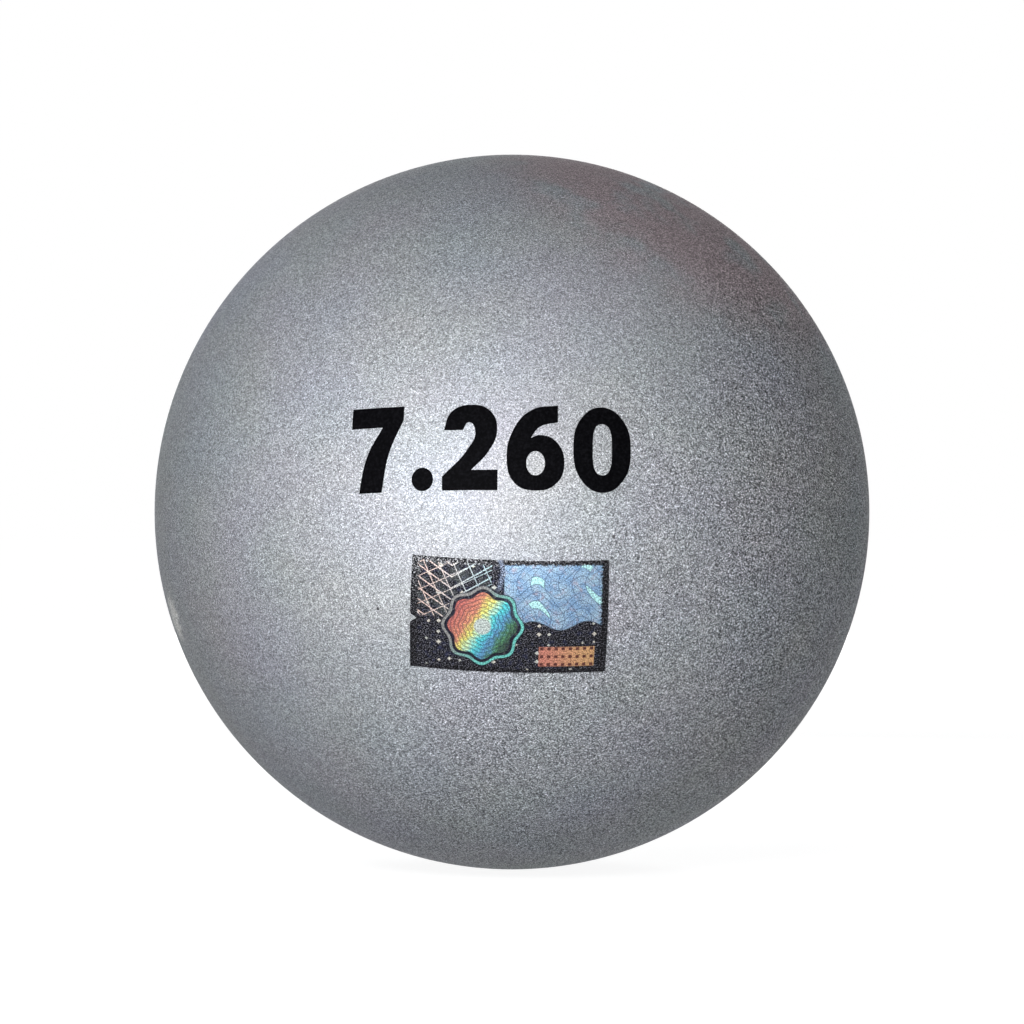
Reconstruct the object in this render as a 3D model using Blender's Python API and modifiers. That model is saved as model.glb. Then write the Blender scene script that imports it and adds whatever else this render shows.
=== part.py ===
"""A men's 7.26 kg competition shot: a welded steel ball around a cast ballast.

The ball is built from two pressed half shells. A bush welded into the rear half holds a screwed
plug, and under the plug a lined well holds the lead discs that trim the weight. A foil security
label lies on the front. The port's axis is the Y axis, with the port at +Y and the label at -Y,
and the origin is the centre of the ball.
"""

import math

import bmesh
import bpy

# Driving dimensions in metres

# Ball and half shells
BALL_DIAMETER = 0.122
SHELL_WALL = 0.008
SPIGOT_LENGTH = 0.004
SPIGOT_THICKNESS = 0.003
GIRTH_LAND = 0.0012
GIRTH_GROOVE_WIDTH = 0.006

# Port bush and its weld
BUSH_RIM = 0.0027
BUSH_FLANGE_STEP = 0.004
BUSH_FLANGE_THICKNESS = 0.0064
PORT_GROOVE_WIDTH = 0.0025
PORT_GROOVE_DEPTH = 0.004

# Plug, thread, key socket and washer
THREAD_DIAMETER = 0.024
THREAD_PITCH = 0.002
HEAD_OVERHANG = 0.004
HEAD_THICKNESS = 0.0064
HEAD_CHAMFER = 0.0004
NECK_LENGTH = 0.0018
PLUG_END_SETBACK = 0.001
SOCKET_ACROSS_FLATS = 0.010
SOCKET_DEPTH = 0.007
WASHER_THICKNESS = 0.0015
WASHER_INSET = 0.0006

# Calibration well and what is in it
CUP_WALL = 0.001
CUP_FLANGE_WIDTH = 0.0041
DISC_THICKNESS = 0.003
DISC_COUNT = 4
PAD_THICKNESS = 0.004

# Security label on the front
LABEL_WIDTH = 0.0304
LABEL_HEIGHT = 0.0178
LABEL_THICKNESS = 0.00015
LABEL_DROP = math.radians(14.9)
LABEL_ROLL = math.radians(1.7)

# Clearances
SEAT_GAP = 0.0003
THREAD_CLEARANCE = 0.0002
DISC_CLEARANCE = 0.0005
LABEL_GAP = 0.0001

# Facets
BALL_SEGMENTS = 48
PORT_SEGMENTS = 32
ARC_STEP = math.tau / BALL_SEGMENTS
MERGE_DISTANCE = 0.000005

# Sizes that follow from the driving dimensions
BALL_RADIUS = BALL_DIAMETER / 2
CAVITY_RADIUS = BALL_RADIUS - SHELL_WALL
SPIGOT_RADIUS = CAVITY_RADIUS + SPIGOT_THICKNESS
GIRTH_ROOT_RADIUS = SPIGOT_RADIUS + SEAT_GAP + GIRTH_LAND
HALF_GAP = SEAT_GAP / 2

# A 60 degree thread has flats of an eighth and a quarter of its pitch on its crest and its root
FLANK_SLOPE = math.tan(math.radians(30))
THREAD_DEPTH = (THREAD_PITCH - THREAD_PITCH / 8 - THREAD_PITCH / 4) / 2 / FLANK_SLOPE
CREST_HALF_WIDTH = THREAD_PITCH / 16
THREAD_RADIUS = THREAD_DIAMETER / 2
CORE_RADIUS = THREAD_RADIUS - THREAD_DEPTH
BORE_RADIUS = CORE_RADIUS + THREAD_CLEARANCE

HEAD_RADIUS = THREAD_RADIUS + HEAD_OVERHANG
COUNTERBORE_RADIUS = HEAD_RADIUS + SEAT_GAP
BUSH_RADIUS = COUNTERBORE_RADIUS + BUSH_RIM
BUSH_HOLE_RADIUS = BUSH_RADIUS + SEAT_GAP
FLANGE_RADIUS = BUSH_RADIUS + BUSH_FLANGE_STEP

HEAD_SEAT = BALL_RADIUS - HEAD_THICKNESS
COUNTERBORE_FLOOR = HEAD_SEAT - WASHER_THICKNESS - 2 * SEAT_GAP
FLANGE_SEAT_RADIUS = CAVITY_RADIUS - SEAT_GAP
FLANGE_EDGE = math.sqrt(FLANGE_SEAT_RADIUS ** 2 - FLANGE_RADIUS ** 2)
BUSH_END = FLANGE_EDGE - BUSH_FLANGE_THICKNESS
PLUG_END = BUSH_END + PLUG_END_SETBACK
THREAD_TOP = HEAD_SEAT - NECK_LENGTH

DISC_RADIUS = BORE_RADIUS - DISC_CLEARANCE
CUP_BORE_RADIUS = BORE_RADIUS
CUP_RADIUS = CUP_BORE_RADIUS + CUP_WALL
CUP_FLANGE_RADIUS = CUP_RADIUS + CUP_FLANGE_WIDTH
CUP_TOP = BUSH_END - SEAT_GAP
PAD_TOP = PLUG_END - SEAT_GAP
PAD_BOTTOM = PAD_TOP - PAD_THICKNESS
DISC_SPACING = DISC_THICKNESS + SEAT_GAP
CUP_FLOOR = PAD_BOTTOM - DISC_COUNT * DISC_SPACING - SEAT_GAP
CUP_BOTTOM = CUP_FLOOR - CUP_WALL


def clear_scene():
    for old in list(bpy.data.objects):
        bpy.data.objects.remove(old, do_unlink=True)


def add_collection(name):
    collection = bpy.data.collections.new(name)
    bpy.context.scene.collection.children.link(collection)
    return collection


def add_empty(name, collection):
    empty = bpy.data.objects.new(name, None)
    empty.empty_display_size = BALL_RADIUS
    collection.objects.link(empty)
    return empty


def add_material(name, colour, roughness, metallic):
    material = bpy.data.materials.new(name)
    material.use_nodes = True
    shader = material.node_tree.nodes["Principled BSDF"]
    shader.inputs["Base Color"].default_value = (*colour, 1)
    shader.inputs["Roughness"].default_value = roughness
    shader.inputs["Metallic"].default_value = metallic
    material.diffuse_color = (*colour, 1)
    return material


def silver_coat():
    return add_material("silver_coat", (0.36, 0.38, 0.41), 0.42, 0.75)


def weld_steel():
    return add_material("weld_steel", (0.33, 0.34, 0.36), 0.5, 0.9)


def turned_steel():
    return add_material("turned_steel", (0.52, 0.52, 0.53), 0.3, 1)


def lead_and_resin():
    return add_material("lead_and_resin", (0.12, 0.12, 0.13), 0.65, 0.4)


def lead():
    return add_material("lead", (0.2, 0.21, 0.23), 0.55, 0.9)


def zinc_plate():
    return add_material("zinc_plate", (0.48, 0.5, 0.52), 0.35, 1)


def copper():
    return add_material("copper", (0.72, 0.36, 0.22), 0.35, 1)


def black_rubber():
    return add_material("black_rubber", (0.025, 0.025, 0.027), 0.8, 0)


def label_foil():
    return add_material("label_foil", (0.1, 0.13, 0.17), 0.25, 0.8)


def height_on_sphere(sphere_radius, ring_radius):
    return math.sqrt(sphere_radius ** 2 - ring_radius ** 2)


def polar_at_height(sphere_radius, height):
    return math.acos(height / sphere_radius)


def polar_at_ring(sphere_radius, ring_radius):
    return math.asin(ring_radius / sphere_radius)


def arc(sphere_radius, polar_from, polar_to):
    """Points (radius, height) along a sphere, by the angle from the port's pole."""
    steps = max(1, math.ceil(abs(polar_to - polar_from) / ARC_STEP - 0.001))
    points = []
    for step in range(steps + 1):
        polar = polar_from + (polar_to - polar_from) * step / steps
        points.append((abs(sphere_radius * math.sin(polar)), sphere_radius * math.cos(polar)))
    return points


def outline_object(name, collection, outline, closed, angle=0.0):
    """A chain of edges from points (radius, height), in the plane at an angle about Z from +X."""
    mesh = bpy.data.meshes.new(name)
    edges = [(i, i + 1) for i in range(len(outline) - 1)]
    if closed:
        edges.append((len(outline) - 1, 0))
    across = (math.cos(angle), math.sin(angle))
    points = [(radius * across[0], radius * across[1], height) for radius, height in outline]
    mesh.from_pydata(points, edges, [])
    obj = bpy.data.objects.new(name, mesh)
    collection.objects.link(obj)
    return obj


def add_screw(obj, segments, turns=1, rise=0.0, merge=True):
    screw = obj.modifiers.new("turned", "SCREW")
    screw.axis = "Z"
    screw.angle = math.tau
    screw.steps = segments
    screw.render_steps = segments
    screw.iterations = turns
    screw.screw_offset = rise
    screw.use_merge_vertices = merge
    screw.merge_threshold = MERGE_DISTANCE


def bake(obj):
    """Replace an object's mesh with its evaluated one, and drop its modifiers."""
    graph = bpy.context.evaluated_depsgraph_get()
    mesh = bpy.data.meshes.new_from_object(obj.evaluated_get(graph))
    old = obj.data
    obj.modifiers.clear()
    obj.data = mesh
    bpy.data.meshes.remove(old)
    mesh.name = obj.name
    return obj


def finish(obj, material, parent):
    """Bake a piece, shade its round faces smooth, and give it its material and its place."""
    bake(obj)
    obj.data.materials.clear()
    obj.data.materials.append(material)
    obj.data.shade_smooth()
    obj.data.set_sharp_from_angle(angle=math.radians(30))
    obj.parent = parent
    return obj


def turn(name, collection, outline, segments):
    """A turned piece about its Z axis. An outline off the axis is closed into a ring."""
    closed = outline[0][0] > MERGE_DISTANCE
    obj = outline_object(name, collection, outline, closed)
    add_screw(obj, segments)
    return obj


def add_boolean(obj, other, operation):
    boolean = obj.modifiers.new(other.name, "BOOLEAN")
    boolean.operation = operation
    boolean.solver = "EXACT"
    boolean.object = other


def hide_cutter(obj):
    obj.hide_render = True
    obj.display_type = "WIRE"
    return obj


def helical_ridge(name, collection, outline, bottom, top):
    """A thread ridge: an outline (radius, height) swept along a right-hand helix.

    The sweep starts a whole number of pitches from the plug's end, so that every ridge is in phase
    with the others, whatever stretch it covers. It starts half a facet round from the turned
    pieces, so that no edge of a ridge lies along an edge of the core or the bore.
    """
    start = PLUG_END + math.floor((bottom - PLUG_END) / THREAD_PITCH) * THREAD_PITCH
    turns = math.ceil((top - start) / THREAD_PITCH)
    placed = [(radius, start + height) for radius, height in outline]
    obj = outline_object(name, collection, placed, closed=True, angle=math.pi / PORT_SEGMENTS)
    add_screw(obj, PORT_SEGMENTS, turns, THREAD_PITCH, merge=False)
    bake(obj)
    bm = bmesh.new()
    bm.from_mesh(obj.data)
    open_edges = [edge for edge in bm.edges if edge.is_boundary]
    bmesh.ops.holes_fill(bm, edges=open_edges, sides=len(outline))
    bmesh.ops.recalc_face_normals(bm, faces=bm.faces)
    bm.to_mesh(obj.data)
    bm.free()
    return hide_cutter(obj)


def ridge_outline(inner_radius, crest_radius, clearance):
    """A ridge of the basic thread form, its flanks moved outwards by the clearance."""
    def half_width(radius):
        flank = (THREAD_RADIUS - radius) * FLANK_SLOPE
        return CREST_HALF_WIDTH + flank + clearance / math.cos(math.radians(30))

    root_radius = CORE_RADIUS + clearance
    crest = half_width(crest_radius)
    root = half_width(root_radius)
    return [
        (inner_radius, root),
        (root_radius, root),
        (crest_radius, crest),
        (crest_radius, -crest),
        (root_radius, -root),
        (inner_radius, -root),
    ]


def make_front_shell(parts, axis, material):
    recess = SPIGOT_LENGTH + SEAT_GAP
    groove_edge = GIRTH_GROOVE_WIDTH / 2
    outline = arc(CAVITY_RADIUS, math.pi, polar_at_height(CAVITY_RADIUS, -recess))
    outline += [
        (SPIGOT_RADIUS + SEAT_GAP, -recess),
        (SPIGOT_RADIUS + SEAT_GAP, -HALF_GAP),
        (GIRTH_ROOT_RADIUS, -HALF_GAP),
    ]
    outline += arc(BALL_RADIUS, polar_at_height(BALL_RADIUS, -groove_edge), math.pi)
    return finish(turn("front_shell", parts, outline, BALL_SEGMENTS), material, axis)


def port_hole_wall():
    """The conical wall of the rear shell's hole, as its outer and inner points."""
    outer_ring = BUSH_HOLE_RADIUS + PORT_GROOVE_WIDTH
    outer = (outer_ring, height_on_sphere(BALL_RADIUS, outer_ring))
    inner = (BUSH_HOLE_RADIUS, height_on_sphere(BALL_RADIUS, BUSH_HOLE_RADIUS) - PORT_GROOVE_DEPTH)
    return outer, inner


def make_rear_shell(parts, axis, material):
    groove_edge = GIRTH_GROOVE_WIDTH / 2
    outer_wall, inner_wall = port_hole_wall()
    outline = arc(
        BALL_RADIUS,
        polar_at_ring(BALL_RADIUS, outer_wall[0]),
        polar_at_height(BALL_RADIUS, groove_edge),
    )
    outline += [
        (GIRTH_ROOT_RADIUS, HALF_GAP),
        (SPIGOT_RADIUS, HALF_GAP),
        (SPIGOT_RADIUS, -SPIGOT_LENGTH),
        (CAVITY_RADIUS, -SPIGOT_LENGTH),
    ]
    outline += arc(CAVITY_RADIUS, math.pi / 2, polar_at_ring(CAVITY_RADIUS, BUSH_HOLE_RADIUS))
    outline.append(inner_wall)
    return finish(turn("rear_shell", parts, outline, BALL_SEGMENTS), material, axis)


def make_girth_weld(parts, axis, material):
    """The bead lies in the V groove, a seat gap inside its flanks and above its root."""
    groove_edge = GIRTH_GROOVE_WIDTH / 2
    edge_radius = height_on_sphere(BALL_RADIUS, groove_edge)
    flank = (groove_edge - HALF_GAP) / (edge_radius - GIRTH_ROOT_RADIUS)
    inset = SEAT_GAP * math.hypot(1, flank)
    face_half = groove_edge - inset
    root_half = SEAT_GAP
    root_radius = GIRTH_ROOT_RADIUS + (root_half + inset - HALF_GAP) / flank
    outline = arc(
        BALL_RADIUS,
        polar_at_height(BALL_RADIUS, face_half),
        polar_at_height(BALL_RADIUS, 0),
    )
    outline += arc(
        BALL_RADIUS,
        polar_at_height(BALL_RADIUS, 0),
        polar_at_height(BALL_RADIUS, -face_half),
    )[1:]
    outline += [(root_radius, -root_half), (root_radius, root_half)]
    return finish(turn("girth_weld", parts, outline, BALL_SEGMENTS), material, axis)


def make_port_weld(parts, axis, material):
    """The bead fills the groove between the bush and the conical wall of the shell's hole."""
    outer_wall, inner_wall = port_hole_wall()
    slope = (outer_wall[0] - inner_wall[0]) / (outer_wall[1] - inner_wall[1])
    inset = SEAT_GAP * math.hypot(1, slope)
    inner_ring = BUSH_RADIUS + SEAT_GAP
    outer_ring = outer_wall[0] - inset
    root_width = 2 * SEAT_GAP
    root_height = inner_wall[1] + (inner_ring + root_width + inset - inner_wall[0]) / slope
    outline = [
        (inner_ring, height_on_sphere(BALL_RADIUS, inner_ring)),
        (outer_ring, height_on_sphere(BALL_RADIUS, outer_ring)),
        (inner_ring + root_width, root_height),
        (inner_ring, root_height),
    ]
    return finish(turn("port_weld", parts, outline, BALL_SEGMENTS), material, axis)


def make_port_bush(parts, cutters, axis, material):
    outline = [
        (COUNTERBORE_RADIUS, height_on_sphere(BALL_RADIUS, COUNTERBORE_RADIUS)),
        (BUSH_RADIUS, height_on_sphere(BALL_RADIUS, BUSH_RADIUS)),
        (BUSH_RADIUS, height_on_sphere(FLANGE_SEAT_RADIUS, BUSH_RADIUS)),
        (FLANGE_RADIUS, FLANGE_EDGE),
        (FLANGE_RADIUS, BUSH_END),
        (BORE_RADIUS, BUSH_END),
        (BORE_RADIUS, COUNTERBORE_FLOOR),
        (COUNTERBORE_RADIUS, COUNTERBORE_FLOOR),
    ]
    bush = turn("port_bush", parts, outline, PORT_SEGMENTS)
    groove = helical_ridge(
        "bush_thread_cutter",
        cutters,
        ridge_outline(CORE_RADIUS - SEAT_GAP, THREAD_RADIUS + THREAD_CLEARANCE, THREAD_CLEARANCE),
        BUSH_END - THREAD_PITCH,
        COUNTERBORE_FLOOR + THREAD_PITCH / 2,
    )
    add_boolean(bush, groove, "DIFFERENCE")
    return finish(bush, material, axis)


def make_port_plug(parts, cutters, axis, material):
    dome_edge = HEAD_RADIUS - HEAD_CHAMFER
    core_chamfer = THREAD_DEPTH
    outline = arc(BALL_RADIUS, 0, polar_at_ring(BALL_RADIUS, dome_edge))
    outline += [
        (HEAD_RADIUS, height_on_sphere(BALL_RADIUS, dome_edge) - HEAD_CHAMFER),
        (HEAD_RADIUS, HEAD_SEAT),
        (CORE_RADIUS, HEAD_SEAT),
        (CORE_RADIUS, PLUG_END + core_chamfer),
        (CORE_RADIUS - core_chamfer, PLUG_END),
        (0, PLUG_END),
    ]
    plug = turn("port_plug", parts, outline, PORT_SEGMENTS)

    ridge = helical_ridge(
        "plug_thread_ridge",
        cutters,
        ridge_outline(CORE_RADIUS - SEAT_GAP, THREAD_RADIUS, 0),
        PLUG_END,
        THREAD_TOP,
    )
    lead_in = THREAD_DEPTH + SEAT_GAP
    envelope_radius = THREAD_RADIUS + SEAT_GAP
    thread_start = PLUG_END + core_chamfer + SEAT_GAP
    envelope = turn(
        "plug_thread_envelope",
        cutters,
        [
            (0, THREAD_TOP),
            (envelope_radius - lead_in, THREAD_TOP),
            (envelope_radius, THREAD_TOP - lead_in),
            (envelope_radius, thread_start + lead_in),
            (envelope_radius - lead_in, thread_start),
            (0, thread_start),
        ],
        PORT_SEGMENTS,
    )
    bake(hide_cutter(envelope))
    add_boolean(ridge, envelope, "INTERSECT")
    bake(ridge)
    add_boolean(plug, ridge, "UNION")

    socket = key_socket_cutter(cutters)
    add_boolean(plug, socket, "DIFFERENCE")
    return finish(plug, material, axis)


def key_socket_cutter(cutters):
    """A hexagonal prism with flats towards +X and -X, open past the top of the head."""
    mesh = bpy.data.meshes.new("key_socket_cutter")
    corner_radius = SOCKET_ACROSS_FLATS / 2 / math.cos(math.pi / 6)
    bm = bmesh.new()
    bmesh.ops.create_cone(
        bm,
        cap_ends=True,
        segments=6,
        radius1=corner_radius,
        radius2=corner_radius,
        depth=2 * SOCKET_DEPTH,
    )
    bm.to_mesh(mesh)
    bm.free()
    socket = bpy.data.objects.new(mesh.name, mesh)
    socket.location.z = BALL_RADIUS
    cutters.objects.link(socket)
    return hide_cutter(socket)


def make_seal_washer(parts, axis, material):
    inner_radius = THREAD_RADIUS + SEAT_GAP
    outer_radius = HEAD_RADIUS - WASHER_INSET
    top = HEAD_SEAT - SEAT_GAP
    bottom = top - WASHER_THICKNESS
    outline = [(inner_radius, top), (outer_radius, top), (outer_radius, bottom), (inner_radius, bottom)]
    return finish(turn("seal_washer", parts, outline, PORT_SEGMENTS), material, axis)


def make_ballast_fill(parts, axis, material):
    """The cast filling, with room for the bush's flange and a well for the cup."""
    fill_radius = CAVITY_RADIUS - SEAT_GAP
    flange_room = FLANGE_RADIUS + SEAT_GAP
    well_radius = CUP_RADIUS + SEAT_GAP
    flange_pocket = CUP_FLANGE_RADIUS + SEAT_GAP
    outline = [
        (0, CUP_BOTTOM - SEAT_GAP),
        (well_radius, CUP_BOTTOM - SEAT_GAP),
        (well_radius, CUP_TOP - CUP_WALL - SEAT_GAP),
        (flange_pocket, CUP_TOP - CUP_WALL - SEAT_GAP),
        (flange_pocket, CUP_TOP),
        (flange_room, CUP_TOP),
    ]
    outline += arc(fill_radius, polar_at_ring(fill_radius, flange_room), math.pi)
    return finish(turn("ballast_fill", parts, outline, PORT_SEGMENTS), material, axis)


def make_calibration_cup(parts, axis, material):
    outline = [
        (0, CUP_FLOOR),
        (CUP_BORE_RADIUS, CUP_FLOOR),
        (CUP_BORE_RADIUS, CUP_TOP),
        (CUP_FLANGE_RADIUS, CUP_TOP),
        (CUP_FLANGE_RADIUS, CUP_TOP - CUP_WALL),
        (CUP_RADIUS, CUP_TOP - CUP_WALL),
        (CUP_RADIUS, CUP_BOTTOM),
        (0, CUP_BOTTOM),
    ]
    return finish(turn("calibration_cup", parts, outline, PORT_SEGMENTS), material, axis)


def make_round_slug(name, parts, axis, material, top, thickness):
    """A short solid cylinder that slides down the well: a trim disc or the packing pad."""
    outline = [(0, top), (DISC_RADIUS, top), (DISC_RADIUS, top - thickness), (0, top - thickness)]
    return finish(turn(name, parts, outline, PORT_SEGMENTS), material, axis)


def make_security_label(parts, drop_axis, material):
    """A thin rectangle bent onto the ball, centred on -Y of its parent and turned about its centre."""
    mesh = bpy.data.meshes.new("security_label")
    radius = BALL_RADIUS + LABEL_GAP
    bm = bmesh.new()
    bmesh.ops.create_grid(bm, x_segments=12, y_segments=7, size=0.5)
    for vert in bm.verts:
        longitude = vert.co.x * LABEL_WIDTH / BALL_RADIUS
        latitude = vert.co.y * LABEL_HEIGHT / BALL_RADIUS
        ring = radius * math.cos(latitude)
        vert.co = (ring * math.sin(longitude), -ring * math.cos(longitude), radius * math.sin(latitude))
    bmesh.ops.recalc_face_normals(bm, faces=bm.faces)
    if sum(face.normal.y for face in bm.faces) > 0:
        bmesh.ops.reverse_faces(bm, faces=bm.faces)
    bm.to_mesh(mesh)
    bm.free()
    label = bpy.data.objects.new("security_label", mesh)
    parts.objects.link(label)
    solidify = label.modifiers.new("thickness", "SOLIDIFY")
    solidify.thickness = LABEL_THICKNESS
    solidify.offset = 1
    finish(label, material, drop_axis)
    label.rotation_euler.y = LABEL_ROLL
    return label


def main():
    clear_scene()
    parts = add_collection("shot_put")
    cutters = add_collection("shot_put_cutters")

    # The pieces are turned about their own Z axis, which the empty lays along the ball's +Y
    port_axis = add_empty("port_axis", parts)
    port_axis.rotation_euler.x = -math.pi / 2
    label_axis = add_empty("label_axis", parts)
    label_axis.rotation_euler.x = LABEL_DROP

    coat = silver_coat()
    weld = weld_steel()
    steel = turned_steel()
    trim_lead = lead()

    make_front_shell(parts, port_axis, coat)
    make_rear_shell(parts, port_axis, coat)
    make_girth_weld(parts, port_axis, weld)
    make_port_bush(parts, cutters, port_axis, steel)
    make_port_weld(parts, port_axis, weld)
    make_ballast_fill(parts, port_axis, lead_and_resin())
    make_calibration_cup(parts, port_axis, zinc_plate())
    for index in range(DISC_COUNT):
        top = PAD_BOTTOM - SEAT_GAP - index * DISC_SPACING
        make_round_slug(f"trim_disc_{index + 1}", parts, port_axis, trim_lead, top, DISC_THICKNESS)
    make_round_slug("packing_pad", parts, port_axis, black_rubber(), PAD_TOP, PAD_THICKNESS)
    make_seal_washer(parts, port_axis, copper())
    make_port_plug(parts, cutters, port_axis, coat)
    make_security_label(parts, label_axis, label_foil())


main()
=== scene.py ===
import math
from functools import partial

import bmesh
import bpy
import mathutils
from mathutils import Euler, Matrix, Vector


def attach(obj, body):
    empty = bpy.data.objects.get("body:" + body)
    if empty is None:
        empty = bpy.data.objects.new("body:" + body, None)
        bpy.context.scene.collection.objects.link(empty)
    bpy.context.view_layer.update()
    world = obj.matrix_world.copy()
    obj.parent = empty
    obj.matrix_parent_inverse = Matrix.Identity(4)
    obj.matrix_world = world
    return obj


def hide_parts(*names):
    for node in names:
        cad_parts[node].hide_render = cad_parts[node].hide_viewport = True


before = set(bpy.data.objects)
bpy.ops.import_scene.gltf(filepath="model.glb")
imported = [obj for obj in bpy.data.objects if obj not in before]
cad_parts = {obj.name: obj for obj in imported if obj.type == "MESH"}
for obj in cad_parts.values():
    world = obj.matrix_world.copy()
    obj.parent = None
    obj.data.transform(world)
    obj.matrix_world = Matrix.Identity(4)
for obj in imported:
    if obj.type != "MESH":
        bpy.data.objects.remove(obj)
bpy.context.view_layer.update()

print("frame loaded,", len(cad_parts), "solids")

quarter = math.pi / 2


# helpers for node trees

def feed(socket, value):
    # a link or a constant; None leaves the socket as it is
    if isinstance(value, bpy.types.NodeSocket):
        socket.id_data.links.new(value, socket)
    elif value is not None:
        socket.default_value = value


def addNode(tree, kind, *values, **settings):
    # the values go to the node's inputs in their order, and the nodes lie in rows of ten
    node = tree.nodes.new(kind)
    count = len(tree.nodes)
    node.location = (count % 10 * 190, -(count // 10) * 260)
    for key, value in settings.items():
        setattr(node, key, value)
    for socket, value in zip(node.inputs, values):
        feed(socket, value)
    return node


def nodeAfter(kind, *values, **settings):
    # a node in the tree that its values come from
    tree = next(value.id_data for value in values if isinstance(value, bpy.types.NodeSocket))
    return addNode(tree, kind, *values, **settings)


def calc(operation, *values):
    return nodeAfter("ShaderNodeMath", *values, operation=operation).outputs[0]


# scaleAdd is value * factor + offset; of two masks, times is where both hold and most where either does
plus, minus, times, over = (partial(calc, name) for name in ("ADD", "SUBTRACT", "MULTIPLY", "DIVIDE"))
scaleAdd, least, most = (partial(calc, name) for name in ("MULTIPLY_ADD", "MINIMUM", "MAXIMUM"))
sine, cosine, wholePart, fraction = (partial(calc, name) for name in ("SINE", "COSINE", "FLOOR", "FRACT"))


def gapTo(value, middle):
    return calc("ABSOLUTE", minus(value, middle))


def between(share, low, high):
    return scaleAdd(share, minus(high, low), low)


def sway(value, rate, swing, base):
    # a sine wave of that swing about the base
    return scaleAdd(sine(times(value, rate)), swing, base)


def ease(value, low, high, outLow=0.0, outHigh=1.0):
    # smooth step from low to high
    given = (value, low, high, outLow, outHigh)
    return nodeAfter("ShaderNodeMapRange", *given, interpolation_type="SMOOTHSTEP").outputs[0]


def vectorCalc(operation, first, second=None, scale=None):
    node = nodeAfter("ShaderNodeVectorMath", first, second, None, scale, operation=operation)
    return node.outputs[1] if operation in ("DISTANCE", "DOT_PRODUCT", "LENGTH") else node.outputs[0]


def splitVector(vector):
    return nodeAfter("ShaderNodeSeparateXYZ", vector).outputs[:]


def joinVector(x, y, z):
    return nodeAfter("ShaderNodeCombineXYZ", x, y, z).outputs[0]


def blend(amount, first, second):
    node = nodeAfter("ShaderNodeMix", amount, data_type="RGBA")
    feed(node.inputs[6], first)  # the colour sockets are 6 and 7
    feed(node.inputs[7], second)
    return node.outputs[2]


def noise(vector, scale, detail=2.0, roughness=0.5, output="Fac"):
    return nodeAfter("ShaderNodeTexNoise", vector, None, scale, detail, roughness).outputs[output]


def cellsOf(vector, scale, randomness=1.0):
    node = nodeAfter("ShaderNodeTexVoronoi", vector, None, scale)
    node.inputs["Randomness"].default_value = randomness
    return node.outputs


def chanceOf(x, y, z):
    # fixed chance values for a cell
    return nodeAfter("ShaderNodeTexWhiteNoise", joinVector(x, y, z), noise_dimensions="3D").outputs


def newTree(name, kind, inputs, outputs):
    # a tree with named sockets, what comes into it and what goes out
    tree = bpy.data.node_groups.new(name, kind + "NodeTree")
    for side, rows in (("INPUT", inputs), ("OUTPUT", outputs)):
        for key, socketKind, *value in rows:
            socket = tree.interface.new_socket(key, in_out=side, socket_type="NodeSocket" + socketKind)
            if value:
                socket.default_value = value[0]
    return tree, addNode(tree, "NodeGroupInput").outputs, addNode(tree, "NodeGroupOutput").inputs


def pick(sizes, *keys):
    return [sizes[key] for key in keys]


# turned pieces by rule: every piece of the shot is a chain of round zones about the Y axis

def makeZone(name, rule, *sizes):
    # a flat grid bent round the axis: the rule gives the radius and the height of its rings
    inputs = [("segments", "Int", 96), ("steps", "Int", 8)] + [(size, "Float", 0.0) for size in sizes]
    tree, given, result = newTree(name, "Geometry", inputs, [("mesh", "Geometry")])
    columns, rows = plus(given["segments"], 1), plus(given["steps"], 1)
    grid = nodeAfter("GeometryNodeMeshGrid", 1.0, 1.0, columns, rows)
    across, along, _ = splitVector(addNode(tree, "GeometryNodeInputPosition").outputs[0])
    turn = times(plus(across, 0.5), math.tau)
    radius, height = rule(turn, plus(along, 0.5), *pick(given, *sizes))
    place = joinVector(times(radius, sine(turn)), height, times(radius, cosine(turn)))
    feed(result["mesh"], nodeAfter("GeometryNodeSetPosition", grid.outputs["Mesh"], None, place).outputs[0])
    return tree


def arcRule(turn, share, centreRadius, centreHeight, arcRadius, fromAngle, toAngle):
    # a part of a ball, ball end or torus: angles are counted from +Y
    angle = between(share, fromAngle, toAngle)
    return scaleAdd(arcRadius, sine(angle), centreRadius), scaleAdd(arcRadius, cosine(angle), centreHeight)


def lineRule(turn, share, fromRadius, fromHeight, toRadius, toHeight):
    # a cone, cylinder or flat ring
    return between(share, fromRadius, toRadius), between(share, fromHeight, toHeight)


def threadRule(turn, share, fromHeight, toHeight, low, high, pitch, crestHalf, slope, endRadius):
    # a right-hand thread: the radius follows the distance from the ridge's middle, which climbs one
    # pitch a turn, and fades to the end radius over a 45 degree lead at both ends
    height = between(share, fromHeight, toHeight)
    turns = minus(over(height, pitch), over(turn, math.tau))
    saw = fraction(plus(turns, 40.5))  # the half puts the ridge's middle at whole turns
    flank = over(minus(crestHalf, times(gapTo(saw, 0.5), pitch)), slope)
    rise = minus(most(low, least(high, plus(high, flank))), endRadius)
    fromEnd = least(minus(height, fromHeight), minus(toHeight, height))
    return scaleAdd(calc("SIGN", rise), least(calc("ABSOLUTE", rise), fromEnd), endRadius), height


zones = {
    "arc": makeZone("arcZone", arcRule, "centreRadius", "centreHeight", "arcRadius", "fromAngle", "toAngle"),
    "line": makeZone("lineZone", lineRule, "fromRadius", "fromHeight", "toRadius", "toHeight"),
    "thread": makeZone("threadZone", threadRule, "fromHeight", "toHeight", "lowRadius", "highRadius",
                       "pitch", "crestHalf", "slope", "endRadius"),
}

meshGaps = {
    "seam": 0.000002,       # corners of neighbouring zones this close are one
    "doubles": 0.000001,
    "tinyEdge": 0.0000005,
}


def linkObject(name, data):
    thing = bpy.data.objects.new(name, data)
    bpy.context.scene.collection.objects.link(thing)
    return thing


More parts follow.
